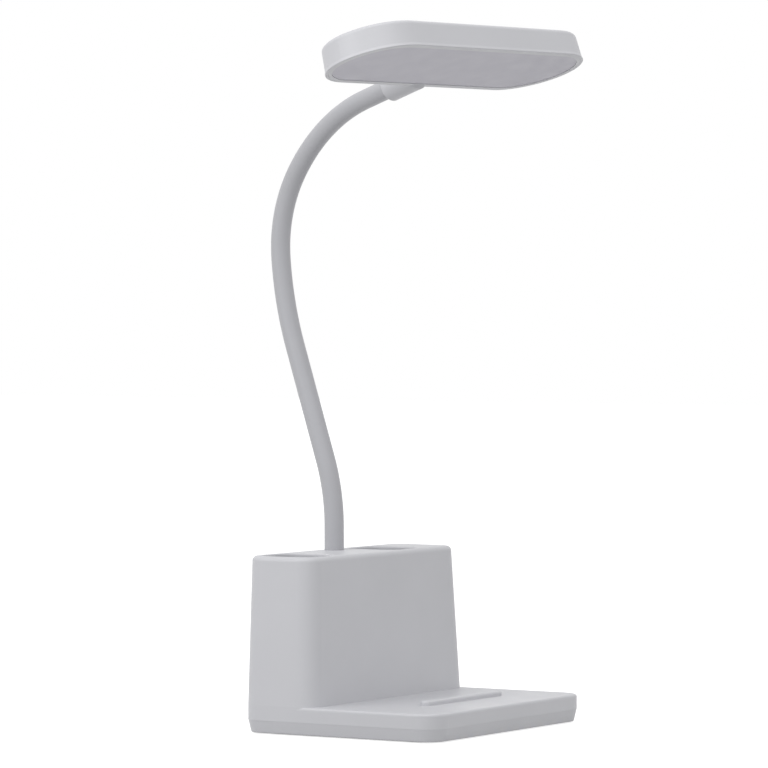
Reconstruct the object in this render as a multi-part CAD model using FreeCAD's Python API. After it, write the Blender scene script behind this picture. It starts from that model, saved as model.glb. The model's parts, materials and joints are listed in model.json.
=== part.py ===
import FreeCAD, Part
import math
import os

from FreeCAD import Placement, Rotation, Vector

# Desk lamp on a pen-holder block with a phone tray. Millimetres, Z up, front of the lamp towards -Y.
# Origin: centre of the base outline, on the face of the anti-slip pad.

# Base outline and heights above the base's own underside
base_width = 140.3
base_depth = 107.0
skirt_height = 6.0
tray_height = 13.1
block_height = 83.0
front_corner_radius = 11.5
back_corner_radius = 9.0
tray_edge_radius = 1.3
skirt_inset = 1.4
skirt_edge_radius = 0.8
parting_step = 0.08

# Pen-holder block that stands on the back of the base
block_depth = 39.9
block_front_inset = 2.9
block_side_inset = 3.75
block_edge_radius = 2.4

# Walls of the moulded housing and of its bottom cover
shell_wall = 2.2
well_wall = 2.0
cover_floor = 2.5
lip_height = 2.0
lip_thickness = 1.2
lip_clearance = 0.1
root_depth = 1.0
rib_thickness = 1.4
rib_gap = 1.0
rib_reach_share = 0.8
rib_place_shares = (-0.5, 0.0, 0.5)

# Pen wells: how far the left one lies inside the outline, the left edge of the right one, and what they share
left_well_side_inset = 7.35
right_well_x = 13.0
well_width = 26.5
well_front_y = 20.5
well_depth_y = 29.0
well_corner_radius = 7.0
well_floor_height = 23.0
well_floor_inset = 0.8
well_mouth_radius = 0.9

# Stop bar on the tray that holds the foot of a phone
bar_length = 69.7
bar_width = 6.0
bar_height = 2.3
bar_front_y = -26.3
bar_centre_x = 3.65
bar_edge_radius = 1.2

# Anti-slip pad let into the underside
pad_thickness = 1.6
pad_proud = 0.6
pad_inset = 7.0
pad_clearance = 0.2
pad_corner_radius = 8.0

# Cover screws and their bosses
front_screw_side_inset = 13.15
back_screw_side_inset = 20.15
well_screw_x = 26.0
screw_end_inset = 12.5
screw_shank_radius = 1.5
screw_head_radius = 2.8
screw_head_height = 1.8
screw_length = 9.0
screw_clearance = 0.1
screw_tip_room = 0.4
boss_radius = 3.6
boss_web = 1.2
drive_slot_depth = 0.9
drive_slot_width = 0.9

# Steel counterweight on the cover under the tray
weight_side_inset = 20.15
weight_depth = 44.0
weight_thickness = 3.0
weight_front_gap = 9.0
weight_corner_radius = 4.0
weight_post_radius = 2.4
weight_post_spacing = 70.0
weight_post_clearance = 0.1
weight_cap_radius = 3.6
weight_cap_height = 1.0

# Standing round cell in its cradle at the right end
cell_radius = 9.15
cell_head_room = 9.3
cell_cap_radius = 3.0
cell_cap_height = 1.0
cell_side_inset = 17.15
cell_y = 34.5
cradle_wall = 1.6
cradle_height = 14.0
cradle_clearance = 0.1
cradle_slot_width = 7.0
cell_foam_radius = 6.0
cell_foam_thickness = 3.0
cell_rib_length = 14.0

# Control board on posts of the cover, with the charging socket at the back wall
board_x = -11.0
board_width = 40.0
board_depth = 24.0
board_thickness = 1.6
board_post_height = 3.6
board_post_radius = 2.2
board_post_inset = 3.4
board_pin_radius = 1.0
board_pin_clearance = 0.05
board_back_gap = 1.6
socket_width = 8.9
socket_height = 3.2
socket_depth = 7.4
socket_wall = 0.35
socket_tongue_height = 0.7
socket_tongue_width = 6.6
socket_x = -20.0
socket_proud = 0.4
socket_clearance = 0.25

# Parts soldered on the control board, their places as shares of the board's size from its middle
chip_place_shares = (0.04, -0.22)
chip_size = 5.0
chip_height = 1.4
coil_place_shares = (-0.30, -0.20)
coil_radius = 3.2
coil_height = 3.6
plug_width = 5.0
plug_depth = 4.6
plug_height = 5.0
plug_grip = 2.0

# Leads inside the base
cell_lead_radius = 0.6
cell_lead_spacing = 2.4
cell_lead_bend = 1.6
cell_lead_start_radius = 7.6
cell_lead_rise = 2.0
cell_lead_side_gap = 0.5
cell_lead_low = 8.5
cell_lead_end_x = 5.0
touch_lead_radius = 0.5
touch_lead_x = -11.5
touch_lead_y = 38.0

# Touch sensor board glued under the top of the block
touch_x = -20.0
touch_y = 33.0
touch_width = 22.0
touch_depth = 16.0
touch_thickness = 1.2

# Foot of the gooseneck in the block
neck_x = -0.8
neck_y = 45.6
neck_turn = -11.0
seat_depth = 1.0
neck_boss_radius = 6.6
neck_boss_length = 12.0
ferrule_thread_radius = 3.4
ferrule_bore_radius = 1.5
ferrule_collar_height = 2.0
ferrule_spigot_height = 7.0
ferrule_spigot_radius = 2.15
ferrule_clearance = 0.1
ferrule_end_length = 2.0
nut_flats = 10.6
nut_clearance = 0.05
nut_height = 4.0
washer_radius = 5.2
washer_thickness = 0.8

# Gooseneck: sleeve over a steel hose with the lead inside
sleeve_radius = 4.7
hose_radius = 3.75
hose_bore_radius = 2.2
lead_radius = 1.3
sleeve_clearance = 0.05
link_gap = 0.3

# Course of the gooseneck from the foot up, seen from the side
foot_rise = 10.7
back_bend_radius = 95.4
back_bend_turn = 20.4
lean_length = 57.8
rise_bend_radius = 163.9
rise_bend_turn = 15.4
crown_bend_radius = 64.2
crown_bend_turn = 38.3
front_bend_radius = 85.4
front_bend_turn = 39.4
end_straight = 16.8

# Lamp head: flat plate with round ends and a lip that stands out a little along its lower edge
head_length = 157.3
head_width = 52.5
head_thickness = 13.0
head_top_inset = 1.1
head_edge_radius = 2.1
head_wall = 1.6
head_lip_thickness = 0.45
head_lip_height = 1.6
head_lip_edge_radius = 0.4

# Socket at the back of the head that takes the gooseneck
connector_radius = 6.7
connector_length = 17.0
connector_axis_height = 5.2
connector_edge_radius = 0.8
connector_nose_length = 1.2
connector_nose_radius = 5.0
connector_bore_depth = 9.0
connector_clearance = 0.05
tongue_width = 13.0
tongue_thickness = 4.4
tongue_length = 14.0
tongue_clearance = 0.15
lead_bore_radius = 1.6
connector_screw_spacing = 8.4
connector_screw_from_end = 4.0
connector_screw_radius = 1.1
connector_screw_head_radius = 1.9
connector_screw_head_height = 1.2
connector_boss_radius = 2.6

# Bezel ring and diffuser panel that close the head from below
bezel_clearance = 0.05
bezel_flange_height = 0.7
bezel_flange_inset = 3.4
bezel_wall = 0.8
bezel_height = 4.0
diffuser_thickness = 1.2
diffuser_clearance = 0.1
diffuser_recess = 0.2

# LED board in the head
led_board_thickness = 1.0
led_board_inset = 6.0
led_board_drop = 2.5
led_board_notch_width = 18.0
led_board_notch_depth = 12.0
led_columns = 12
led_width = 3.5
led_depth = 2.8
led_height = 0.8
led_pitch = 9.6
led_row_shares = (0.42, 0.74)
led_boss_radius = 2.4
led_boss_spacing = 92.0
led_boss_row_share = 0.58
led_screw_radius = 1.0
led_screw_head_radius = 1.8
led_screw_head_height = 1.2
led_screw_grip = 2.2
head_plug_gap = 2.0
head_plug_drop = 2.0

# Cuts run past the faces they open by this much; points closer than the second value are one point
overrun = 5.0
touching = 1e-4

# Levels and places worked out from the sizes above
x_axis = Vector(1, 0, 0)
y_axis = Vector(0, 1, 0)
z_axis = Vector(0, 0, 1)
half_width = base_width / 2
half_depth = base_depth / 2
left_well_x = left_well_side_inset - half_width
cell_x = half_width - cell_side_inset
weight_width = base_width - 2 * weight_side_inset
front_screw_x = half_width - front_screw_side_inset
back_screw_x = back_screw_side_inset - half_width
screw_y = half_depth - screw_end_inset
screw_places = ((-front_screw_x, -screw_y), (front_screw_x, -screw_y), (back_screw_x, screw_y),
                (well_screw_x, screw_y))
bottom_z = pad_proud
pocket_z = pad_thickness
parting_z = bottom_z + skirt_height
tray_z = bottom_z + tray_height
top_z = bottom_z + block_height
floor_z = bottom_z + cover_floor
tray_ceiling_z = tray_z - shell_wall
ceiling_z = top_z - shell_wall
well_drop = block_height - well_floor_height
well_low_z = top_z - well_drop - well_wall
block_front_y = half_depth - block_depth
screw_top_z = pocket_z + screw_head_height
boss_z = screw_top_z + boss_web
weight_front_y = shell_wall + weight_front_gap - half_depth
weight_mid_y = weight_front_y + weight_depth / 2
weight_top_z = floor_z + weight_thickness
board_z = floor_z + board_post_height
board_top_z = board_z + board_thickness
board_back_y = half_depth - shell_wall - board_back_gap
board_mid_y = board_back_y - board_depth / 2
plug_low_z = board_top_z + plug_height - plug_grip
cradle_radius = cell_radius + cradle_clearance
foam_top_z = ceiling_z - cell_head_room
cell_cap_z = foam_top_z - cell_foam_thickness
cell_top_z = cell_cap_z - cell_cap_height
neck_seat_z = top_z - seat_depth
neck_boss_z = ceiling_z - neck_boss_length
washer_z = neck_boss_z - washer_thickness
nut_z = washer_z - nut_height
head_ceiling = head_thickness - head_wall
led_board_low = head_ceiling - led_board_drop - led_board_thickness
led_board_top = led_board_low + led_board_thickness
tongue_low = connector_axis_height - tongue_thickness / 2
tongue_top = tongue_low + tongue_thickness
head_plug_y = -tongue_length - head_plug_gap
lead_in_ball = math.sqrt(sleeve_radius ** 2 - lead_radius ** 2)


def at(x, y, z):
    return Vector(x, y, z)


def outline(x0, x1, y0, y1, z, front_radius, back_radius):
    """Closed wire of a rectangle with rounded corners, lying level at height z."""
    corners = (
        (x1 - front_radius, y0 + front_radius, front_radius, -90),
        (x1 - back_radius, y1 - back_radius, back_radius, 0),
        (x0 + back_radius, y1 - back_radius, back_radius, 90),
        (x0 + front_radius, y0 + front_radius, front_radius, 180),
    )

    def on_corner(corner, turn):
        x, y, radius, start = corner
        angle = math.radians(start + turn)
        return at(x + radius * math.cos(angle), y + radius * math.sin(angle), z)

    edges = []
    for i, corner in enumerate(corners):
        edges.append(Part.Arc(on_corner(corner, 0), on_corner(corner, 45), on_corner(corner, 90)).toShape())
        end = on_corner(corner, 90)
        following = on_corner(corners[(i + 1) % len(corners)], 0)
        if end.distanceToPoint(following) > touching:
            edges.append(Part.makeLine(end, following))
    return Part.Wire(edges)


def prism(wire, height):
    return Part.Face(wire).extrude(z_axis * height)


def between(lower, upper):
    """Solid with straight sides from one outline to another."""
    return Part.makeLoft([lower, upper], True, True)


def edges_at(shape, z):
    return [e for e in shape.Edges if all(abs(v.Z - z) < touching for v in e.Vertexes)]


def drum(x, y, z, radius, height):
    return Part.makeCylinder(radius, height, at(x, y, z))


def drum_between(x, y, z0, z1, radius):
    return drum(x, y, z0, radius, z1 - z0)


def block(x0, x1, y0, y1, z0, z1):
    return Part.makeBox(x1 - x0, y1 - y0, z1 - z0, at(x0, y0, z0))


def centred_block(x, y, z, width, depth, height):
    return block(x - width / 2, x + width / 2, y - depth / 2, y + depth / 2, z, z + height)


def joined(shapes):
    return shapes[0].fuse(shapes[1:])


def screw(x, y, z, shank_radius, head_radius, head_height, length):
    """Cross-slotted screw driven upwards, the flat of its head at z."""
    body = drum(x, y, z, head_radius, head_height)
    body = body.fuse(drum(x, y, z, shank_radius, length))
    slot_length = 2 * head_radius - drive_slot_width
    for width, depth in ((slot_length, drive_slot_width), (drive_slot_width, slot_length)):
        body = body.cut(centred_block(x, y, z - overrun, width, depth, overrun + drive_slot_depth))
    return body.removeSplitter()


def lead(points, bend, radius):
    """Round lead along straight runs joined by bends of one radius."""
    edges = []
    start = points[0]
    for before, corner, after in zip(points, points[1:], points[2:]):
        back = (before - corner).normalize()
        on = (after - corner).normalize()
        reach = bend / math.tan(back.getAngle(on) / 2)
        middle = (back + on).normalize()
        centre = corner + middle * math.hypot(bend, reach)
        edges.append(Part.makeLine(start, corner + back * reach))
        edges.append(Part.Arc(corner + back * reach, centre - middle * bend, corner + on * reach).toShape())
        start = corner + on * reach
    edges.append(Part.makeLine(start, points[-1]))
    section = Part.Wire(Part.makeCircle(radius, points[0], points[1] - points[0]))
    return Part.Wire(edges).makePipeShell([section], True, True)


# Base: the L-shaped moulding, its bottom cover and what they hold

def base_outline(inset, z):
    return outline(inset - half_width, half_width - inset, inset - half_depth, half_depth - inset, z,
                   front_corner_radius - inset, back_corner_radius - inset)


def block_outline(inset, z):
    """Outline of the pen-holder block at height z: straight up to the tray, then leaning in."""
    raised = max(z - tray_z, 0) / (top_z - tray_z)
    half = half_width - block_side_inset * raised - inset
    return outline(-half, half, block_front_y + block_front_inset * raised + inset, half_depth - inset, z,
                   back_corner_radius - inset, back_corner_radius - inset)


def housing_form(inset, low_z, tray_top_z, block_top_z):
    """Tray, foot of the block and block as three closed forms with their sides set in."""
    tray = prism(base_outline(inset, low_z), tray_top_z - low_z)
    foot = prism(block_outline(inset, low_z), tray_z - low_z)
    tower = between(block_outline(inset, tray_z), block_outline(inset, block_top_z))
    return [tray, foot, tower]


def well_form(x0, spread, drop):
    """Tapered pen well below the top of the block, wider than its inside by the spread."""
    def mouth(grown, z):
        radius = well_corner_radius + grown
        return outline(x0 - grown, x0 + well_width + grown, well_front_y - grown,
                       well_front_y + well_depth_y + grown, z, radius, radius)

    return between(mouth(spread - well_floor_inset, top_z - drop), mouth(spread, top_z))


def housing_insides():
    """Well walls, neck boss, screw bosses, tray ribs and the crossed ribs above the cell."""
    pieces = [well_form(x0, well_wall, well_drop + well_wall) for x0 in (left_well_x, right_well_x)]
    pieces.append(drum_between(neck_x, neck_y, neck_boss_z, top_z, neck_boss_radius))
    for x, y in screw_places:
        boss_top_z = tray_z if y < block_front_y else well_low_z + root_depth
        pieces.append(drum_between(x, y, boss_z, boss_top_z, boss_radius))
    rib_half = half_width * rib_reach_share
    rib_low_z = weight_top_z + weight_cap_height + rib_gap
    for share in rib_place_shares:
        y = weight_mid_y + share * weight_depth
        pieces.append(block(-rib_half, rib_half, y, y + rib_thickness, rib_low_z, tray_z))
    for width, depth in ((cell_rib_length, rib_thickness), (rib_thickness, cell_rib_length)):
        pieces.append(centred_block(cell_x, cell_y, foam_top_z, width, depth, top_z - foam_top_z))
    within = joined(housing_form(shell_wall - root_depth, bottom_z, tray_ceiling_z + root_depth,
                                 ceiling_z + root_depth))
    return [piece.common(within) for piece in pieces]


def make_base_housing():
    tray, foot, tower = housing_form(0, parting_z, tray_z, top_z)
    tray = tray.makeFillet(tray_edge_radius, edges_at(tray, tray_z))
    tower = tower.makeFillet(block_edge_radius, edges_at(tower, top_z))
    body = tray.fuse([foot, tower])
    for hollow in housing_form(shell_wall, parting_z - overrun, tray_ceiling_z, ceiling_z):
        body = body.cut(hollow)
    body = body.fuse(housing_insides())
    for x0 in (left_well_x, right_well_x):
        body = body.cut(well_form(x0, 0, well_drop))
    for x, y in screw_places:
        body = body.cut(drum_between(x, y, boss_z - overrun, pocket_z + screw_length + screw_tip_room,
                                     screw_shank_radius))
    body = body.cut(drum_between(neck_x, neck_y, neck_boss_z - overrun, top_z,
                                 ferrule_thread_radius + ferrule_clearance))
    body = body.cut(drum_between(neck_x, neck_y, neck_seat_z, top_z + overrun,
                                 sleeve_radius + sleeve_clearance))
    body = body.cut(slot_bar(socket_clearance, half_depth + overrun, shell_wall + 2 * overrun))
    body = body.fuse(make_stop_bar()).removeSplitter()
    return body.makeFillet(well_mouth_radius, [e for e in edges_at(body, top_z) if on_well_mouth(e)])


def on_well_mouth(edge):
    point = edge.CenterOfMass
    if not well_front_y - touching <= point.y <= well_front_y + well_depth_y + touching:
        return False
    return any(x0 - touching <= point.x <= x0 + well_width + touching for x0 in (left_well_x, right_well_x))


def make_stop_bar():
    """Raised bar on the tray with round ends and a softened top edge."""
    x0 = bar_centre_x - bar_length / 2
    foot = outline(x0, x0 + bar_length, bar_front_y, bar_front_y + bar_width, tray_z - root_depth,
                   bar_width / 2, bar_width / 2)
    bar = prism(foot, root_depth + bar_height)
    return bar.makeFillet(bar_edge_radius, edges_at(bar, tray_z + bar_height))


def slot_bar(grown, back_y, depth, thinned=0):
    """Bar of the socket's long round section that runs forwards from back_y."""
    grown = grown - thinned
    z0 = board_top_z - grown
    z1 = board_top_z + socket_height + grown
    x0 = socket_x - socket_width / 2 - grown
    x1 = socket_x + socket_width / 2 + grown
    radius = socket_height / 2 + grown
    section = outline(x0, x1, z0, z1, 0, radius, radius)
    section.rotate(at(0, 0, 0), x_axis, 90)
    section.translate(y_axis * back_y)
    return Part.Face(section).extrude(y_axis * -depth)


def make_base_cover():
    """Bottom of the base: drafted skirt, lip, counterbored bosses, posts and the cell's cradle."""
    body = between(base_outline(parting_step + skirt_inset, bottom_z), base_outline(parting_step, parting_z))
    body = body.makeFillet(skirt_edge_radius, edges_at(body, bottom_z))
    lip_out = shell_wall + lip_clearance
    body = body.fuse(prism(base_outline(lip_out, parting_z - root_depth), root_depth + lip_height))
    body = body.cut(prism(base_outline(lip_out + lip_thickness, floor_z), block_height))
    under_z = floor_z - root_depth
    inside = []
    for x, y in weight_posts():
        inside.append(drum_between(x, y, under_z, weight_top_z, weight_post_radius))
        inside.append(drum(x, y, weight_top_z, weight_cap_radius, weight_cap_height))
    for x, y in board_posts():
        inside.append(drum_between(x, y, under_z, board_z, board_post_radius))
        inside.append(drum_between(x, y, under_z, board_top_z, board_pin_radius))
    inside += [drum_between(x, y, under_z, boss_z, boss_radius) for x, y in screw_places]
    inside.append(make_cradle(under_z))
    body = body.fuse(inside)
    for x, y in screw_places:
        body = body.cut(drum_between(x, y, pocket_z - overrun, screw_top_z,
                                     screw_head_radius + screw_clearance))
        body = body.cut(drum_between(x, y, pocket_z, boss_z + overrun,
                                     screw_shank_radius + screw_clearance))
    half = half_width - pad_inset + pad_clearance
    reach = half_depth - pad_inset + pad_clearance
    corner = pad_corner_radius + pad_clearance
    pocket = prism(outline(-half, half, -reach, reach, pocket_z - overrun, corner, corner), overrun)
    socket_gap = slot_bar(socket_clearance, half_depth, shell_wall + board_back_gap)
    return body.cut([pocket, socket_gap]).removeSplitter()


def make_cradle(under_z):
    """Slotted ring that holds the foot of the cell."""
    high_z = floor_z + cradle_height
    ring = drum_between(cell_x, cell_y, under_z, high_z, cradle_radius + cradle_wall)
    ring = ring.cut(drum_between(cell_x, cell_y, floor_z, high_z + overrun, cradle_radius))
    across = 2 * (cradle_radius + cradle_wall + overrun)
    slot_z = floor_z + cradle_height / 2
    for width, depth in ((cradle_slot_width, across), (across, cradle_slot_width)):
        ring = ring.cut(centred_block(cell_x, cell_y, slot_z, width, depth, cradle_height))
    return ring


def weight_posts():
    return [(side * weight_post_spacing / 2, weight_mid_y) for side in (-1, 1)]


def board_posts():
    reach_x = board_width / 2 - board_post_inset
    reach_y = board_depth / 2 - board_post_inset
    return [(board_x + i * reach_x, board_mid_y + j * reach_y) for i in (-1, 1) for j in (-1, 1)]


def make_anti_slip_pad():
    half = half_width - pad_inset
    reach = half_depth - pad_inset
    return prism(outline(-half, half, -reach, reach, 0, pad_corner_radius, pad_corner_radius), pad_thickness)


def make_cover_screws():
    return [screw(x, y, pocket_z, screw_shank_radius, screw_head_radius, screw_head_height, screw_length)
            for x, y in screw_places]


def make_counterweight():
    half = weight_width / 2
    plate = prism(outline(-half, half, weight_front_y, weight_front_y + weight_depth, floor_z,
                          weight_corner_radius, weight_corner_radius), weight_thickness)
    for x, y in weight_posts():
        plate = plate.cut(drum_between(x, y, floor_z - overrun, weight_top_z + overrun,
                                       weight_post_radius + weight_post_clearance))
    return plate


def make_battery_cell():
    can = drum_between(cell_x, cell_y, floor_z, cell_top_z, cell_radius)
    cap = drum(cell_x, cell_y, cell_top_z, cell_cap_radius, cell_cap_height)
    return can.fuse(cap).removeSplitter()


def make_cell_foam():
    return drum(cell_x, cell_y, cell_cap_z, cell_foam_radius, cell_foam_thickness)


def make_cell_leads():
    """Two leads from the top of the cell down its side and along to the control board."""
    side_x = cell_x - cell_radius - cell_lead_side_gap - cell_lead_radius
    start_x = cell_x - cell_lead_start_radius
    high_z = cell_top_z + cell_lead_rise
    low_z = floor_z + cell_lead_low
    leads = []
    for side in (-1, 1):
        y = cell_y + side * cell_lead_spacing / 2
        points = [at(start_x, y, cell_top_z), at(start_x, y, high_z), at(side_x, y, high_z),
                  at(side_x, y, low_z), at(cell_lead_end_x, y, low_z), at(cell_lead_end_x, y, board_top_z)]
        leads.append(lead(points, cell_lead_bend, cell_lead_radius))
    return leads


def make_control_board():
    board = centred_block(board_x, board_mid_y, board_z, board_width, board_depth, board_thickness)
    for x, y in board_posts():
        board = board.cut(drum_between(x, y, board_z - overrun, board_top_z + overrun,
                                       board_pin_radius + board_pin_clearance))
    return board


def on_board(shares):
    return board_x + shares[0] * board_width, board_mid_y + shares[1] * board_depth


def make_driver_chip():
    x, y = on_board(chip_place_shares)
    return centred_block(x, y, board_top_z, chip_size, chip_size, chip_height)


def make_boost_coil():
    x, y = on_board(coil_place_shares)
    return drum(x, y, board_top_z, coil_radius, coil_height)


def make_lead_plug():
    plug = centred_block(neck_x, neck_y, board_top_z, plug_width, plug_depth, plug_height)
    return plug.cut(drum_between(neck_x, neck_y, plug_low_z, plug_low_z + plug_height, lead_radius))


def make_charging_socket():
    """Metal shell of the charging socket with its contact tongue."""
    back_y = half_depth - socket_proud
    shell = slot_bar(0, back_y, socket_depth)
    hollow = slot_bar(0, back_y + overrun, socket_depth - socket_wall + overrun, socket_wall)
    tongue = centred_block(socket_x, back_y - socket_depth / 2, board_top_z + socket_height / 2
                           - socket_tongue_height / 2, socket_tongue_width, socket_depth - socket_wall,
                           socket_tongue_height)
    return shell.cut(hollow).fuse(tongue).removeSplitter()


def make_touch_board():
    low_z = ceiling_z - touch_thickness
    return centred_block(touch_x, touch_y, low_z, touch_width, touch_depth, touch_thickness)


def make_touch_lead():
    high_z = ceiling_z - touch_thickness
    return drum_between(touch_lead_x, touch_lead_y, board_top_z, high_z, touch_lead_radius)


# Foot of the gooseneck

def make_neck_ferrule():
    """Turned end fitting of the hose: spigot, collar and threaded shank, bored for the lead."""
    low_z = nut_z - ferrule_end_length
    spigot_z = neck_seat_z + ferrule_collar_height
    body = drum_between(neck_x, neck_y, low_z, neck_seat_z, ferrule_thread_radius)
    body = body.fuse(drum_between(neck_x, neck_y, neck_seat_z, spigot_z, hose_radius))
    body = body.fuse(drum(neck_x, neck_y, spigot_z, ferrule_spigot_radius, ferrule_spigot_height))
    body = body.cut(drum_between(neck_x, neck_y, low_z - overrun, spigot_z + ferrule_spigot_height + overrun,
                                 ferrule_bore_radius))
    return body.removeSplitter()


def make_neck_washer():
    ring = drum(neck_x, neck_y, washer_z, washer_radius, washer_thickness)
    return ring.cut(drum_between(neck_x, neck_y, washer_z - overrun, neck_boss_z + overrun,
                                 ferrule_thread_radius + ferrule_clearance))


def make_neck_nut():
    corner = nut_flats / 2 / math.cos(math.radians(30))
    points = []
    for i in range(7):
        angle = math.radians(60 * i)
        points.append(at(neck_x + corner * math.cos(angle), neck_y + corner * math.sin(angle), nut_z))
    nut = Part.Face(Part.makePolygon(points)).extrude(z_axis * nut_height)
    return nut.cut(drum_between(neck_x, neck_y, nut_z - overrun, washer_z + overrun,
                                ferrule_thread_radius + nut_clearance))


# Gooseneck: drawn in an upright plane through its foot, then turned and stood on the block

class Span:
    """One stretch of the gooseneck: straight, or a bend whose turn is positive towards the front."""

    def __init__(self, start, heading, length=0, radius=0, turn=0):
        self.start = start
        self.heading = heading
        self.turn = turn
        self.length = length
        self.end = start + heading * length
        self.end_heading = heading
        if turn:
            forward = Rotation(x_axis, 90).multVec(heading)
            bend = Rotation(x_axis, turn)
            self.centre = start + forward * math.copysign(radius, turn)
            self.end = self.centre + bend.multVec(start - self.centre)
            self.end_heading = bend.multVec(heading)

    def bar(self, radius, past_end=0):
        """Round bar along the stretch, run on straight past its end where asked."""
        disc = Part.Face(Part.Wire(Part.makeCircle(radius, self.start, self.heading)))
        if self.turn:
            form = disc.revolve(self.centre, x_axis, self.turn)
        else:
            form = disc.extrude(self.heading * self.length)
        if past_end:
            form = form.fuse(Part.makeCylinder(radius, past_end, self.end, self.end_heading))
        return form

    def seat(self):
        """Space for the rounded end of the link before."""
        return Part.makeSphere(sleeve_radius + link_gap, self.start)

    def ball(self):
        return Part.makeSphere(sleeve_radius, self.end)


def gooseneck_course():
    """Foot, six bending stretches from hinge to hinge, and the end in the head's socket."""
    found = [Span(at(0, 0, neck_seat_z), z_axis, length=seat_depth + foot_rise)]
    for step in (
        dict(radius=back_bend_radius, turn=-back_bend_turn),
        dict(length=lean_length / 2),
        dict(length=lean_length / 2),
        dict(radius=rise_bend_radius, turn=rise_bend_turn),
        dict(radius=crown_bend_radius, turn=crown_bend_turn),
        dict(radius=front_bend_radius, turn=front_bend_turn),
        dict(length=end_straight + connector_bore_depth),
    ):
        found.append(Span(found[-1].end, found[-1].end_heading, **step))
    return found


def foot_link(span):
    """Sleeve, hose and lead of the fixed foot; the lead runs on down to the control board."""
    form = span.bar(sleeve_radius).fuse(span.ball())
    sleeve = form.cut(span.bar(hose_radius + sleeve_clearance, sleeve_radius))
    hose = span.bar(hose_radius, sleeve_radius).cut(span.bar(hose_bore_radius, sleeve_radius)).common(form)
    hose = hose.cut(drum(0, 0, neck_seat_z, sleeve_radius, ferrule_collar_height))
    core = drum_between(0, 0, plug_low_z, span.end.z + lead_in_ball, lead_radius)
    return sleeve, hose, core


def bending_link(span):
    """Sleeve, hose and lead of one link between two hinges."""
    form = span.bar(sleeve_radius).fuse(span.ball()).cut(span.seat())
    sleeve = form.cut(span.bar(hose_radius + sleeve_clearance, sleeve_radius))
    hose = span.bar(hose_radius, sleeve_radius).cut(span.bar(hose_bore_radius, sleeve_radius)).common(form)
    return sleeve, hose, span.bar(lead_radius, lead_in_ball).cut(span.seat())


def head_link(span):
    """Sleeve and hose that end in the head's socket, and the lead that runs on to the head's plug."""
    past = connector_length - connector_bore_depth - head_plug_y + plug_grip
    sleeve = span.bar(sleeve_radius).cut(span.bar(hose_radius + sleeve_clearance)).cut(span.seat())
    hose = span.bar(hose_radius).cut(span.bar(hose_bore_radius)).cut(span.seat())
    return sleeve, hose, span.bar(lead_radius, past).cut(span.seat())


def make_gooseneck():
    """Every piece of the gooseneck as {node: shape}."""
    links = {"foot": foot_link(course[0])}
    for i, span in enumerate(course[1:-1]):
        links[str(i + 1)] = bending_link(span)
    links["head"] = head_link(course[-1])
    pieces = {}
    for link, shapes in links.items():
        for kind, shape in zip(("sleeve", "hose", "lead"), shapes):
            pieces[f"neck_{kind}_{link}"] = placed(shape.removeSplitter(), neck_place)
    return pieces


def placed(shape, place):
    shape.Placement = place.multiply(shape.Placement)
    return shape


# Head: drawn level, its back edge on Y = 0, its front towards -Y and its light face on Z = 0

def head_outline(inset, z):
    return outline(inset - head_length / 2, head_length / 2 - inset, inset - head_width, -inset, z,
                   head_width / 2 - inset, head_width / 2 - inset)


def inner_inset(z):
    """How far the inner face of the head's drafted wall lies inside its lower outline at height z."""
    return head_wall + head_top_inset * z / head_ceiling


def connector_screw_places():
    y = connector_screw_from_end - tongue_length
    return [(side * connector_screw_spacing / 2, y) for side in (-1, 1)]


def led_screw_places():
    return [(side * led_boss_spacing / 2, -head_width * led_boss_row_share) for side in (-1, 0, 1)]


def head_lip():
    return between(head_outline(0, 0), head_outline(head_lip_thickness, head_lip_height))


def head_upper():
    foot = head_outline(head_lip_thickness, head_lip_height)
    return between(foot, head_outline(head_top_inset, head_thickness))


def make_head_cover():
    """Upper shell of the head with its bosses and the slot for the socket's tongue."""
    upper = head_upper()
    lip = head_lip()
    body = upper.makeFillet(head_edge_radius, edges_at(upper, head_thickness))
    body = body.fuse(lip.makeFillet(head_lip_edge_radius, edges_at(lip, 0)))
    hollow = between(head_outline(inner_inset(0), 0), head_outline(inner_inset(head_ceiling), head_ceiling))
    hollow = hollow.makeFillet(head_edge_radius - head_wall, edges_at(hollow, head_ceiling))
    body = body.cut(hollow.fuse(prism(head_outline(head_wall, -overrun), overrun)))
    rooted = head_ceiling + root_depth
    bosses = [drum_between(x, y, tongue_top, rooted, connector_boss_radius)
              for x, y in connector_screw_places()]
    bosses += [drum_between(x, y, led_board_top, rooted, led_boss_radius)
               for x, y in led_screw_places()]
    body = body.fuse(bosses)
    for x, y in connector_screw_places():
        body = body.cut(drum_between(x, y, 0, head_ceiling, connector_screw_radius))
    for x, y in led_screw_places():
        body = body.cut(drum_between(x, y, 0, head_ceiling, led_screw_radius))
    half = tongue_width / 2 + tongue_clearance
    slot = block(-half, half, -head_wall - overrun, overrun, tongue_low - tongue_clearance,
                 tongue_top + tongue_clearance)
    return body.cut(slot).removeSplitter()


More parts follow.
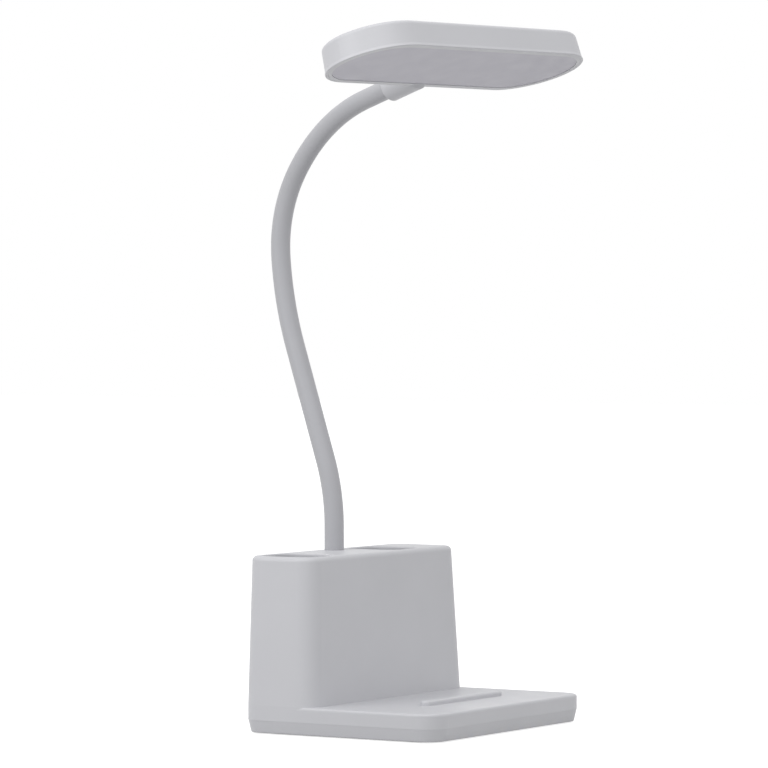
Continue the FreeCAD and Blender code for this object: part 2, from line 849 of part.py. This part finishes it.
def make_head_connector():
    """Round socket for the gooseneck, with a flat tongue that is screwed inside the head."""
    axis_z = connector_axis_height
    barrel = Part.makeCylinder(connector_radius, head_top_inset + connector_length,
                               at(0, -head_top_inset, axis_z), y_axis)
    rear = [e for e in barrel.Edges if all(abs(v.Y - connector_length) < touching for v in e.Vertexes)]
    barrel = barrel.makeFillet(connector_edge_radius, rear)
    nose = Part.makeCone(connector_radius, connector_nose_radius, connector_nose_length,
                         at(0, -head_top_inset, axis_z), -y_axis)
    barrel = barrel.fuse(nose).cut([head_lip(), head_upper()])
    tongue = block(-tongue_width / 2, tongue_width / 2, -tongue_length, head_top_inset,
                   tongue_low, tongue_top)
    body = barrel.fuse(tongue)
    bore = Part.makeCylinder(sleeve_radius + connector_clearance, connector_bore_depth + overrun,
                             at(0, connector_length - connector_bore_depth, axis_z), y_axis)
    lead_bore = Part.makeCylinder(lead_bore_radius, tongue_length + connector_length + 2 * overrun,
                                  at(0, -tongue_length - overrun, axis_z), y_axis)
    body = body.cut([bore, lead_bore])
    for x, y in connector_screw_places():
        body = body.cut(drum_between(x, y, tongue_low - overrun, tongue_top + overrun,
                                     connector_screw_radius + screw_clearance))
        body = body.cut(drum_between(x, y, tongue_low - overrun, tongue_low + connector_screw_head_height,
                                     connector_screw_head_radius + screw_clearance))
    return body.removeSplitter()


def make_connector_screws():
    return [screw(x, y, tongue_low, connector_screw_radius, connector_screw_head_radius,
                  connector_screw_head_height, head_ceiling - tongue_low)
            for x, y in connector_screw_places()]


def make_head_bezel():
    """Ring between shell and diffuser: a thin flange below and a drafted wall inside the shell."""
    low_inset = inner_inset(0) + bezel_clearance
    high_inset = inner_inset(bezel_height) + bezel_clearance
    ring = between(head_outline(low_inset, 0), head_outline(high_inset, bezel_height))
    ring = ring.cut(prism(head_outline(high_inset + bezel_wall, bezel_flange_height), bezel_height))
    ring = ring.cut(prism(head_outline(bezel_flange_inset, -overrun), bezel_height + overrun))
    half = tongue_width / 2 + tongue_clearance
    gap = block(-half, half, -bezel_flange_inset - overrun, overrun, tongue_low - tongue_clearance,
                bezel_height + overrun)
    return ring.cut(gap)


def make_head_diffuser():
    """Frosted panel: its edge rests on the bezel's flange, its raised face fills the flange's opening."""
    inset = inner_inset(bezel_height) + bezel_clearance + bezel_wall + diffuser_clearance
    plate = prism(head_outline(inset, bezel_flange_height), diffuser_thickness)
    face = prism(head_outline(bezel_flange_inset + diffuser_clearance, diffuser_recess),
                 bezel_flange_height - diffuser_recess)
    return plate.fuse(face).removeSplitter()


def make_led_board():
    board = prism(head_outline(led_board_inset, led_board_low), led_board_thickness)
    half = led_board_notch_width / 2
    board = board.cut(block(-half, half, -led_board_inset - led_board_notch_depth, overrun,
                            led_board_low - overrun, led_board_top + overrun))
    for x, y in led_screw_places():
        board = board.cut(drum_between(x, y, led_board_low - overrun, led_board_top + overrun,
                                       led_screw_radius + screw_clearance))
    return board


def make_led_board_screws():
    length = led_screw_head_height + led_board_thickness + led_screw_grip
    return [screw(x, y, led_board_low - led_screw_head_height, led_screw_radius, led_screw_head_radius,
                  led_screw_head_height, length)
            for x, y in led_screw_places()]


def make_leds():
    leds = []
    for row in led_row_shares:
        for column in range(led_columns):
            x = (column - (led_columns - 1) / 2) * led_pitch
            leds.append(centred_block(x, -head_width * row, led_board_low - led_height, led_width, led_depth,
                                      led_height))
    return leds


def make_head_plug():
    """Plug under the LED board that takes the end of the lead."""
    low = connector_axis_height - head_plug_drop
    plug = block(-plug_width / 2, plug_width / 2, head_plug_y - plug_depth, head_plug_y, low, led_board_low)
    grip = Part.makeCylinder(lead_radius, plug_grip + overrun,
                             at(0, head_plug_y - plug_grip, connector_axis_height), y_axis)
    return plug.cut(grip)


# Everything in its place

course = gooseneck_course()
neck_place = Placement(at(neck_x, neck_y, 0), Rotation(z_axis, neck_turn))
end_heading = course[-1].heading
end_up = Rotation(x_axis, -90).multVec(end_heading)
head_back = course[-1].start + end_heading * (end_straight + connector_length)
head_back = head_back - end_up * connector_axis_height
head_tilt = 90 + back_bend_turn - rise_bend_turn - crown_bend_turn - front_bend_turn
head_place = neck_place.multiply(Placement(head_back, Rotation(x_axis, -head_tilt)))

base_pieces = {
    "base_housing": make_base_housing,
    "base_cover": make_base_cover,
    "anti_slip_pad": make_anti_slip_pad,
    "cover_screws": make_cover_screws,
    "counterweight": make_counterweight,
    "battery_cell": make_battery_cell,
    "cell_foam": make_cell_foam,
    "cell_leads": make_cell_leads,
    "control_board": make_control_board,
    "driver_chip": make_driver_chip,
    "boost_coil": make_boost_coil,
    "lead_plug": make_lead_plug,
    "charging_socket": make_charging_socket,
    "touch_board": make_touch_board,
    "touch_lead": make_touch_lead,
    "neck_ferrule": make_neck_ferrule,
    "neck_washer": make_neck_washer,
    "neck_nut": make_neck_nut,
}
head_pieces = {
    "head_cover": make_head_cover,
    "head_connector": make_head_connector,
    "connector_screws": make_connector_screws,
    "head_bezel": make_head_bezel,
    "head_diffuser": make_head_diffuser,
    "led_board": make_led_board,
    "led_board_screws": make_led_board_screws,
    "leds": make_leds,
    "head_plug": make_head_plug,
}


def one_shape(made):
    return Part.makeCompound(made) if isinstance(made, list) else made


nodes = {name: one_shape(make()) for name, make in base_pieces.items()}
nodes.update(make_gooseneck())
nodes.update({name: placed(one_shape(make()), head_place) for name, make in head_pieces.items()})

os.makedirs("parts", exist_ok=True)
for name, shape in nodes.items():
    shape.exportStep(f"parts/{name}.step")
    print(f"{name}: {len(shape.Solids)} solids, {shape.Volume:.1f} mm3, valid {shape.isValid()}")
for i, span in enumerate(course[1:]):
    point = neck_place.multVec(span.start)
    across = neck_place.Rotation.multVec(Rotation(x_axis, -90).multVec(span.heading))
    print(f"hinge {i + 1}: at {point.x:.3f} {point.y:.3f} {point.z:.3f}, "
          f"square to the neck {across.x:.6f} {across.y:.6f} {across.z:.6f}")
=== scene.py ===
import json
import math

import bpy
from mathutils import Matrix, Vector


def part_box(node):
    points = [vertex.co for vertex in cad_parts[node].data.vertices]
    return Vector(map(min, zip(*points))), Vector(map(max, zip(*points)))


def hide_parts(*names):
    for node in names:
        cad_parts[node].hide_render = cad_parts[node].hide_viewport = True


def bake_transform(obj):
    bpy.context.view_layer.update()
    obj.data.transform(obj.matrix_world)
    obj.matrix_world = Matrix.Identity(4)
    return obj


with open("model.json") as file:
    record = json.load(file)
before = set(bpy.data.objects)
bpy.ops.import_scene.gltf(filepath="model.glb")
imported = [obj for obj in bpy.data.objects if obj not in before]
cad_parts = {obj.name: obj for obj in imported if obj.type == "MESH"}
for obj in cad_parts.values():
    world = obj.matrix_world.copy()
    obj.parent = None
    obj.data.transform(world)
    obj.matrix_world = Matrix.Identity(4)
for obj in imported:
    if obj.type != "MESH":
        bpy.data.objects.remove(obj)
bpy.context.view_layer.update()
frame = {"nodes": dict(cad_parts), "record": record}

# Desk lamp on a block with two wells and a tray. Metres, Z up, front of the lamp towards -Y.

nodes = frame["nodes"]

# Camera, found from the straight edges of the base in the photograph
camera_azimuth = math.radians(31.589)
camera_distance = 2.1944
camera_height = 0.20435
camera_yaw = math.radians(-0.394)
camera_pitch = math.radians(1.052)
image_width_px = 768
focal_px = 4600.0
sensor_width_mm = 36.0
clip_near = 0.05
clip_far = 50.0

# Gooseneck sleeve and its course up from the block, seen from the side. The course is a list of
# bends, each with radius and turn in degrees (positive towards the front), and straights, each
# with its length. A hinge stands at the start of each and at the end of the last.
sleeve_radius = 0.0047
sleeve_bore_radius = 0.0038
foot_length = 0.0117
neck_turn = math.radians(-11.0)
end_length = 0.0258
course = (
    ("bend", 0.0954, -20.4),
    ("straight", 0.0289, 0.0),
    ("straight", 0.0289, 0.0),
    ("bend", 0.1639, 15.4),
    ("bend", 0.0642, 38.3),
    ("bend", 0.0854, 39.4),
)
ring_step = 0.0015
ring_sides = 48

# Edges where two faces meet at more than this stay hard in the shading
hard_edge = math.radians(28.0)

# Surroundings
floor_half_width = 6.0
floor_grey = 0.54
floor_roughness = 0.9
floor_glow = 0.80
dome_strength = 0.70
white = (1.0, 1.0, 1.0, 1.0)

# Square soft lights: name, place, aim, side in metres and power in watts
soft_lights = (
    ("key_left", (-0.68, 0.38, 0.60), (0, 0, 0.2), 0.5, 1.75),
    ("top_soft", (-0.42, -0.22, 1.0), (0, 0, 0.1), 1.0, 3.2),
)


# Node materials

# Noise textures stay mostly between these two values
noise_low = 0.3
noise_high = 0.7

# Plastics turn lighter and darker by this share from place to place
mottle_share = 0.015
plastic_ior = 1.5
panel_ior = 1.49


def tint(colour, share):
    return tuple(min(c * share, 1.0) for c in colour)


class Shader:
    """A node material built from small steps."""

    def __init__(self, name):
        self.material = bpy.data.materials.new(name)
        self.material.use_nodes = True
        self.tree = self.material.node_tree
        self.surface = self.tree.nodes["Principled BSDF"]
        self.place = self.add("ShaderNodeTexCoord").outputs["Object"]

    def add(self, kind):
        return self.tree.nodes.new(kind)

    def join(self, output, socket):
        self.tree.links.new(output, socket)

    def noise(self, scale, detail=2.0, stretch=None):
        node = self.add("ShaderNodeTexNoise")
        node.inputs["Scale"].default_value = scale
        node.inputs["Detail"].default_value = detail
        place = self.place
        if stretch:
            mapping = self.add("ShaderNodeMapping")
            mapping.inputs["Scale"].default_value = stretch
            self.join(place, mapping.inputs["Vector"])
            place = mapping.outputs["Vector"]
        self.join(place, node.inputs["Vector"])
        return node.outputs["Fac"]

    def ramp(self, factor, low, high):
        """Colour that runs from low to high with a noise."""
        node = self.add("ShaderNodeValToRGB")
        first, second = node.color_ramp.elements
        first.position, first.color = noise_low, (*low, 1.0)
        second.position, second.color = noise_high, (*high, 1.0)
        self.join(factor, node.inputs["Fac"])
        return node.outputs["Color"]

    def mottle(self, factor, colour):
        """Colour that turns a little darker and lighter with a noise."""
        return self.ramp(factor, tint(colour, 1 - mottle_share), tint(colour, 1 + mottle_share))

    def spread(self, factor, low, high):
        """Value that runs from low to high with a noise."""
        node = self.add("ShaderNodeMapRange")
        node.inputs["From Min"].default_value = noise_low
        node.inputs["From Max"].default_value = noise_high
        node.inputs["To Min"].default_value = low
        node.inputs["To Max"].default_value = high
        self.join(factor, node.inputs["Value"])
        return node.outputs["Result"]

    def colour(self, output):
        self.join(output, self.surface.inputs["Base Color"])

    def roughness(self, output):
        self.join(output, self.surface.inputs["Roughness"])

    def bump(self, heights):
        """Bumps on top of each other, each a height texture with its depth in metres."""
        normal = None
        for output, depth in heights:
            node = self.add("ShaderNodeBump")
            node.inputs["Distance"].default_value = depth
            self.join(output, node.inputs["Height"])
            if normal:
                self.join(normal, node.inputs["Normal"])
            normal = node.outputs["Normal"]
        self.join(normal, self.surface.inputs["Normal"])

    def set(self, socket, value):
        self.surface.inputs[socket].default_value = value


def moulded_plastic(name, colour, rough, grain_scale=3200.0, grain_depth=0.00001):
    """Satin moulded plastic: fine spark-eroded grain, faint flow mottling and an uneven sheen."""
    shader = Shader(name)
    flow = shader.noise(22.0, detail=3.0)
    shader.colour(shader.mottle(flow, colour))
    shader.roughness(shader.spread(shader.noise(65.0, detail=4.0), rough - 0.04, rough + 0.05))
    shader.bump([(shader.noise(grain_scale), grain_depth), (flow, grain_depth * 2)])
    shader.set("IOR", plastic_ior)
    return shader.material


def frosted_panel(name, colour):
    """Opal light panel: fine frosting over a soft milky body."""
    shader = Shader(name)
    cloud = shader.noise(14.0)
    shader.colour(shader.mottle(cloud, colour))
    shader.roughness(shader.spread(shader.noise(120.0), 0.40, 0.50))
    shader.bump([(shader.noise(5200.0, detail=1.0), 0.000006)])
    shader.set("IOR", panel_ior)
    return shader.material


def brushed_metal(name, colour, rough, stretch=(40.0, 40.0, 900.0)):
    """Metal with fine drawn lines, which run across the axis of the largest stretch."""
    shader = Shader(name)
    lines = shader.noise(6.0, detail=3.0, stretch=stretch)
    shader.colour(shader.ramp(lines, tint(colour, 0.92), tint(colour, 1.06)))
    shader.roughness(shader.spread(lines, rough - 0.07, rough + 0.09))
    shader.bump([(lines, 0.000004)])
    shader.set("Metallic", 1.0)
    return shader.material


def matt_rubber(name, colour, rough):
    """Matt rubber or foam: small cells over a cloudy dark body."""
    shader = Shader(name)
    cells = shader.add("ShaderNodeTexVoronoi")
    cells.inputs["Scale"].default_value = 1400.0
    shader.join(shader.place, cells.inputs["Vector"])
    cloud = shader.noise(90.0, detail=4.0)
    shader.colour(shader.ramp(cloud, tint(colour, 0.85), tint(colour, 1.2)))
    shader.roughness(shader.spread(shader.noise(200.0), rough - 0.08, rough + 0.08))
    shader.bump([(cells.outputs["Distance"], 0.00003)])
    return shader.material


def circuit_board(name, colour):
    """Solder mask over copper runs, seen as slightly raised lighter lines."""
    shader = Shader(name)
    runs = shader.add("ShaderNodeTexBrick")
    runs.inputs["Scale"].default_value = 260.0
    runs.inputs["Mortar Size"].default_value = 0.02
    for socket, share in (("Color1", 0.9), ("Color2", 1.1), ("Mortar", 1.7)):
        runs.inputs[socket].default_value = (*tint(colour, share), 1.0)
    shader.join(shader.place, runs.inputs["Vector"])
    shader.colour(runs.outputs["Color"])
    shader.roughness(shader.spread(shader.noise(180.0), 0.25, 0.4))
    shader.bump([(runs.outputs["Fac"], 0.00002)])
    return shader.material


# One row for each material slot: kind of material, colour, roughness and what differs
slot_rows = {
    "shell_plastic": (moulded_plastic, (0.600, 0.602, 0.630), 0.42, {}),
    "sleeve_plastic": (moulded_plastic, (0.470, 0.472, 0.497), 0.40, {"grain_scale": 2600.0}),
    "pad_rubber": (matt_rubber, (0.022, 0.022, 0.024), 0.8, {}),
    "zinc_steel": (brushed_metal, (0.62, 0.62, 0.63), 0.32, {}),
    "weight_steel": (brushed_metal, (0.45, 0.45, 0.46), 0.45, {"stretch": (900.0, 40.0, 40.0)}),
    "hose_steel": (brushed_metal, (0.58, 0.58, 0.60), 0.35, {"stretch": (60.0, 60.0, 500.0)}),
    "cell_wrap": (moulded_plastic, (0.03, 0.15, 0.35), 0.3, {"grain_depth": 0.000003}),
    "foam": (matt_rubber, (0.02, 0.02, 0.022), 0.9, {}),
    "chip_black": (moulded_plastic, (0.012, 0.012, 0.013), 0.55, {}),
    "plug_plastic": (moulded_plastic, (0.70, 0.66, 0.55), 0.45, {}),
    "red_lead": (moulded_plastic, (0.27, 0.01, 0.008), 0.4, {}),
    "lead_jacket": (moulded_plastic, (0.6, 0.6, 0.6), 0.45, {}),
    "ferrule_brass": (brushed_metal, (0.60, 0.43, 0.16), 0.28, {}),
    "board_aluminium": (brushed_metal, (0.80, 0.81, 0.82), 0.5, {"stretch": (600.0, 60.0, 60.0)}),
    "led_phosphor": (moulded_plastic, (0.75, 0.60, 0.12), 0.25, {"grain_depth": 0.000002}),
}
slot_materials = {
    slot: kind(slot, colour, rough, **others)
    for slot, (kind, colour, rough, others) in slot_rows.items()
}
slot_materials["diffuser_opal"] = frosted_panel("diffuser_opal", (0.525, 0.514, 0.572))
slot_materials["board_laminate"] = circuit_board("board_laminate", (0.012, 0.085, 0.03))


def paint(piece, slot):
    piece.data.materials.clear()
    piece.data.materials.append(slot_materials[slot])


def dress_cad_nodes():
    """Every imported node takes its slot's material and smooth shading between its hard edges."""
    for part in frame["record"]["subparts"]:
        piece = nodes[part["node"]]
        paint(piece, part["material_slot"])
        piece.data.shade_smooth()
        piece.data.set_sharp_from_angle(angle=hard_edge)


# Gooseneck

def neck_points():
    """Middle line of the sleeve, with the hinges' distances along it and the sideways direction.

    Each entry of the line is (distance from the start, point, heading).
    """
    low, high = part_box("neck_sleeve_foot")
    point = Vector(((low.x + high.x) / 2, (low.y + high.y) / 2, low.z))
    sideways = Matrix.Rotation(neck_turn, 3, "Z") @ Vector((1, 0, 0))
    heading = Vector((0, 0, 1))
    line = []
    gone = 0.0
    hinges = []

    def walk(length, turn_per_metre):
        nonlocal point, heading, gone
        steps = max(1, round(length / ring_step))
        step = length / steps
        half_angle = turn_per_metre * step / 2
        half_turn = Matrix.Rotation(half_angle, 3, sideways)
        chord = step * math.sin(half_angle) / half_angle if half_angle else step
        for _ in range(steps):
            line.append((gone, point.copy(), heading.copy()))
            middle = half_turn @ heading
            point = point + middle * chord
            heading = half_turn @ middle
            gone += step

    walk(foot_length, 0.0)
    for kind, size, turn in course:
        hinges.append(gone)
        if kind == "bend":
            angle = math.radians(turn)
            walk(size * abs(angle), math.copysign(1 / size, angle))
        else:
            walk(size, 0.0)
    hinges.append(gone)
    walk(end_length, 0.0)
    line.append((gone, point.copy(), heading.copy()))
    return line, hinges, sideways


def new_piece(name, verts, faces):
    mesh = bpy.data.meshes.new(name)
    mesh.from_pydata(verts, [], faces)
    piece = bpy.data.objects.new(name, mesh)
    bpy.context.scene.collection.objects.link(piece)
    return piece


def tube_piece(name, line, sideways):
    """Closed tube with a bore along a stretch of the middle line."""
    verts = []
    faces = []
    for radius in (sleeve_radius, sleeve_bore_radius):
        for _, point, heading in line:
            other = heading.cross(sideways)
            for k in range(ring_sides):
                angle = 2 * math.pi * k / ring_sides
                spoke = sideways * math.cos(angle) + other * math.sin(angle)
                verts.append(point + spoke * radius)
    rings = len(line)
    inner = rings * ring_sides
    for i in range(rings - 1):
        for k in range(ring_sides):
            a = i * ring_sides + k
            b = i * ring_sides + (k + 1) % ring_sides
            faces.append((a, b, b + ring_sides, a + ring_sides))
            faces.append((inner + b, inner + a, inner + a + ring_sides, inner + b + ring_sides))
    last = (rings - 1) * ring_sides
    for k in range(ring_sides):
        m = (k + 1) % ring_sides
        faces.append((m, k, inner + k, inner + m))
        faces.append((last + k, last + m, inner + last + m, inner + last + k))
    piece = new_piece(name, verts, faces)
    piece.data.shade_smooth()
    piece.data.set_sharp_from_angle(angle=hard_edge)
    return piece


def build_gooseneck():
    """One sleeve piece over each hinge, from the middle of one link to the middle of the next.

    The first piece stands in for the foot and the first link, each other one for its upper link.
    """
    line, hinges, sideways = neck_points()
    total = line[-1][0]
    ends = [0.0] + [(a + b) / 2 for a, b in zip(hinges, hinges[1:])] + [total]
    links = range(1, len(course) + 1)
    sleeves = ["neck_sleeve_foot"] + [f"neck_sleeve_{i}" for i in links] + ["neck_sleeve_head"]
    for i, hinge in enumerate(hinges):
        start, end = ends[i], ends[i + 1]
        first = min(range(len(line)), key=lambda k: abs(line[k][0] - start))
        last = min(range(len(line)), key=lambda k: abs(line[k][0] - end))
        piece = tube_piece(f"gooseneck_{i + 1}", line[first:last + 1], sideways)
        paint(piece, "sleeve_plastic")
        _, middle, heading = min(line, key=lambda entry: abs(entry[0] - hinge))
        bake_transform(piece)
        replaced = [sleeves[i + 1]] if i else sleeves[:2]
        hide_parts(*replaced)


# Camera, floor and light

def build_camera():
    ahead = Vector((math.cos(camera_azimuth), math.sin(camera_azimuth), 0))
    aside = Vector((math.sin(camera_azimuth), -math.cos(camera_azimuth), 0))
    up = Vector((0, 0, 1))
    place = -ahead * camera_distance + up * camera_height
    level = ahead * math.cos(camera_yaw) + aside * math.sin(camera_yaw)
    right = aside * math.cos(camera_yaw) - ahead * math.sin(camera_yaw)
    view = level * math.cos(camera_pitch) - up * math.sin(camera_pitch)
    above = up * math.cos(camera_pitch) + level * math.sin(camera_pitch)
    data = bpy.data.cameras.new("camera")
    data.sensor_width = sensor_width_mm
    data.lens = focal_px * sensor_width_mm / image_width_px
    data.clip_start = clip_near
    data.clip_end = clip_far
    camera = bpy.data.objects.new("camera", data)
    turn = Matrix((right, above, -view)).transposed().to_4x4()
    camera.matrix_world = Matrix.Translation(place) @ turn
    bpy.context.scene.collection.objects.link(camera)
    bpy.context.scene.camera = camera


def background_rays(tree):
    """One on rays that show the background: camera, mirrored and see-through rays."""
    rays = tree.nodes.new("ShaderNodeLightPath")
    seen = rays.outputs["Is Camera Ray"]
    for kind in ("Is Glossy Ray", "Is Transmission Ray"):
        either = tree.nodes.new("ShaderNodeMath")
        either.operation = "MAXIMUM"
        tree.links.new(seen, either.inputs[0])
        tree.links.new(rays.outputs[kind], either.inputs[1])
        seen = either.outputs[0]
    return seen


def build_floor():
    """Wide pale floor that shows white to the camera and keeps the lamp's soft shadow."""
    far = floor_half_width
    corners = [(-far, -far, 0), (far, -far, 0), (far, far, 0), (-far, far, 0)]
    floor = new_piece("floor", corners, [(0, 1, 2, 3)])
    material = bpy.data.materials.new("pale_floor")
    material.use_nodes = True
    tree = material.node_tree
    surface = tree.nodes["Principled BSDF"]
    surface.inputs["Base Color"].default_value = (floor_grey, floor_grey, floor_grey, 1.0)
    surface.inputs["Roughness"].default_value = floor_roughness
    surface.inputs["Specular IOR Level"].default_value = 0.0
    surface.inputs["Emission Color"].default_value = white
    glow = tree.nodes.new("ShaderNodeMath")
    glow.operation = "MULTIPLY"
    glow.inputs[1].default_value = floor_glow
    tree.links.new(background_rays(tree), glow.inputs[0])
    tree.links.new(glow.outputs[0], surface.inputs["Emission Strength"])
    floor.data.materials.append(material)


def build_world():
    """White where it is seen, and an even soft dome of light otherwise."""
    world = bpy.data.worlds.new("studio")
    bpy.context.scene.world = world
    world.use_nodes = True
    tree = world.node_tree
    tree.nodes.clear()
    mix = tree.nodes.new("ShaderNodeMixShader")
    tree.links.new(background_rays(tree), mix.inputs["Fac"])
    for place, strength in ((1, dome_strength), (2, 1.0)):
        background = tree.nodes.new("ShaderNodeBackground")
        background.inputs["Color"].default_value = white
        background.inputs["Strength"].default_value = strength
        tree.links.new(background.outputs[0], mix.inputs[place])
    out = tree.nodes.new("ShaderNodeOutputWorld")
    tree.links.new(mix.outputs[0], out.inputs["Surface"])


def build_lights():
    for name, place, aim, size, watts in soft_lights:
        data = bpy.data.lights.new(name, "AREA")
        data.shape = "SQUARE"
        data.size = size
        data.energy = watts
        light = bpy.data.objects.new(name, data)
        place = Vector(place)
        turn = (Vector(aim) - place).to_track_quat("-Z", "Y").to_matrix().to_4x4()
        light.matrix_world = Matrix.Translation(place) @ turn
        bpy.context.scene.collection.objects.link(light)


dress_cad_nodes()
build_gooseneck()
build_camera()
build_floor()
build_world()
build_lights()
bpy.context.scene.view_settings.view_transform = "Standard"
